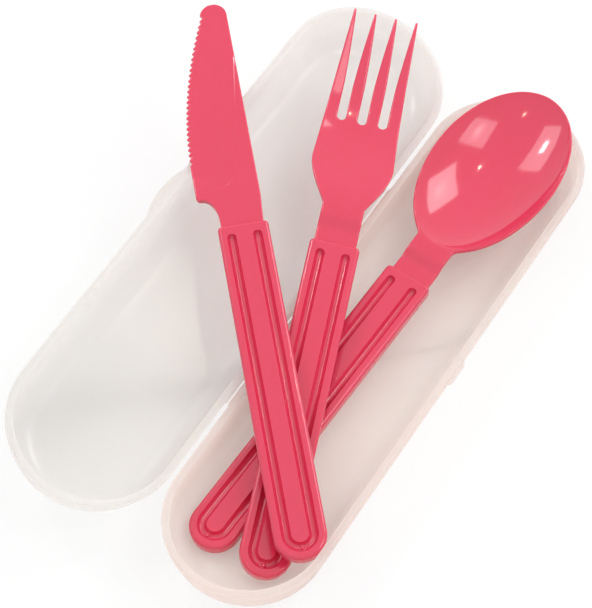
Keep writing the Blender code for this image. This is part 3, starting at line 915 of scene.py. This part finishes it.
def coral_plastic(name, turn):
    """Glossy coral, with flow streaks that follow the piece, which lies turned by this angle."""
    look = Look(name)
    drift = look.noise(CORAL_DRIFT, 3.0)
    grain = look.noise(CORAL_GRAIN)
    flow = look.noise(1.0, stretch=FLOW_STREAKS, turn=-turn)
    share = (0.7 * drift + 0.5 * flow - 0.1).within(0.0, 1.0)
    skin = look.node("ShaderNodeBsdfPrincipled", {}, {
        "Base Color": look.tint(share, CORAL, CORAL_DEEP),
        "Roughness": 0.06 + 0.06 * drift + 0.03 * flow,
        "Subsurface Weight": 0.25,
        "Subsurface Radius": (1.0, 0.22, 0.30),
        "Subsurface Scale": 0.0020,
        "IOR": 1.53,
        "Coat Weight": 0.5,
        "Coat Roughness": 0.04,
        "Normal": look.relief(0.6 * grain + 0.4 * flow + 14.0 * look.noise(CORAL_WAVES), RELIEF_UNIT),
    })
    return look.finish(skin)


# %% Materials on the pieces
def dress(piece, material):
    """Gives a piece its one material."""
    piece.data.materials.clear()
    piece.data.materials.append(material)


dress(base_skin, milky_plastic("base_milky", BASE_TINT_WITH_PAINTED_WARMTH))
dress(lid_skin, milky_plastic("lid_milky", LID_TINT))
for piece, node in ((knife, "knife"), (fork, "fork"), (spoon, "spoon")):
    ahead = places[node].to_3x3().col[1]
    dress(piece, coral_plastic(node + "_coral", math.atan2(-ahead.x, ahead.y)))
print("materials:", sorted(material.name for material in bpy.data.materials if "_" in material.name))

# %% [markdown]
# Each new piece moves with a body of the imported model, and stands for one of its solids.

# %% Pieces, bodies and hidden solids
for piece, node, body in (
    (base_skin, "base_shell", "base"),
    (lid_skin, "lid_shell", "lid"),
    (knife, "knife", "base"),
    (fork, "fork", "base"),
    (spoon, "spoon", "base"),
):
    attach(piece, body)
    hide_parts(node)

# %% [markdown]
# The set stands on a white table that runs out of the picture on all sides. The camera sees
# most of the floor as plain white and a small share as lit, which keeps a faint shadow
# under the case, as in a product picture.

# %% Floor
FLOOR_SIZE = 6.0
FLOOR_LIT = 0.25
FLOOR_GAP = 0.0002


def seen_directly(tree):
    """1 on rays from the camera, off a gloss or through a clear piece, and 0 on all others."""
    path = tree.nodes.new("ShaderNodeLightPath")
    from_camera = Value(tree, path.outputs["Is Camera Ray"])
    off_gloss = Value(tree, path.outputs["Is Glossy Ray"])
    through = Value(tree, path.outputs["Is Transmission Ray"])
    return (from_camera + off_gloss + through).within(0.0, 1.0)


floor_mesh = bpy.data.meshes.new("floor")
edge = FLOOR_SIZE / 2
corners = [(-edge, -edge, 0), (edge, -edge, 0), (edge, edge, 0), (-edge, edge, 0)]
floor_mesh.from_pydata(corners, [], [(0, 1, 2, 3)])
floor = bpy.data.objects.new("floor", floor_mesh)
floor.location.z = -FLOOR_GAP
bpy.context.scene.collection.objects.link(floor)
look = Look("floor_white")
seen = seen_directly(look.tree)
lit = look.node("ShaderNodeBsdfDiffuse", {}, {"Color": (0.92, 0.92, 0.92, 1)})
plain = look.node("ShaderNodeEmission", {}, {"Color": (1, 1, 1, 1), "Strength": 1.0})
mix = look.node("ShaderNodeMixShader", {}, {"Fac": (1.0 - FLOOR_LIT) * seen})
look.tree.links.new(lit.outputs[0], mix.inputs[1])
look.tree.links.new(plain.outputs[0], mix.inputs[2])
floor_mesh.materials.append(look.finish(mix))
print("floor is lit by", FLOOR_LIT)

# %% [markdown]
# The light is a pale room with three large soft boxes round the set and two small warm
# ceiling lamps. Each box is brighter in its middle. They give the three bright patches and
# the glints in the spoon's bowl, and the fine bright lines along the grooves.

# %% Light
ROOM = 0.76
BOX_LIGHT = 2.3
CORE_LIGHT = 18.0
CORE_SIZE = (0.11, 0.085)
CORE_ROUNDING = 0.97
GLINT_LIGHT = 60.0
GLINT_SIZE = (0.026, 0.026)
NEUTRAL = (1.0, 1.0, 1.0)
WARM = (1.0, 0.86, 0.62)
FACING = Vector((0.03, 0.06, 0.02))


def soft_box(name, direction, size, radiance, colour=NEUTRAL):
    """A lamp one metre away in this direction that faces the spoon's bowl."""
    lamp = bpy.data.lights.new(name, "AREA")
    lamp.shape = "RECTANGLE"
    lamp.size, lamp.size_y = size
    lamp.energy = radiance * math.pi * size[0] * size[1]
    lamp.color = colour
    made = bpy.data.objects.new(name, lamp)
    bpy.context.scene.collection.objects.link(made)
    look_at(made, FACING + Vector(direction).normalized(), FACING)


for name, direction, size, share in (
    ("back_box", (0.30, 0.66, 0.68), (0.44, 0.38), 1.5),
    ("right_box", (0.48, 0.12, 0.84), (0.30, 0.48), 1.0),
    ("left_box", (-0.68, 0.06, 0.70), (0.46, 0.42), 1.0),
):
    soft_box(name, direction, size, share * BOX_LIGHT)
    # A core lies in its box's plane. The factor changes only the last digits of its place, and
    # those decide which of the two lamps a glossy surface shows.
    soft_box(name + "_core", CORE_ROUNDING * Vector(direction), CORE_SIZE, CORE_LIGHT)
for number, direction in enumerate(((0.07, 0.37, 0.93), (-0.04, -0.27, 0.96))):
    soft_box(f"lamp_{number}", direction, GLINT_SIZE, GLINT_LIGHT, WARM)
world = bpy.data.worlds.new("room")
world.use_nodes = True
background = world.node_tree.nodes["Background"]
background.inputs["Color"].default_value = (1, 1, 1, 1)
level = (1.0 - ROOM) * seen_directly(world.node_tree) + ROOM
world.node_tree.links.new(level.socket, background.inputs["Strength"])
bpy.context.scene.world = world
print("room light", ROOM)
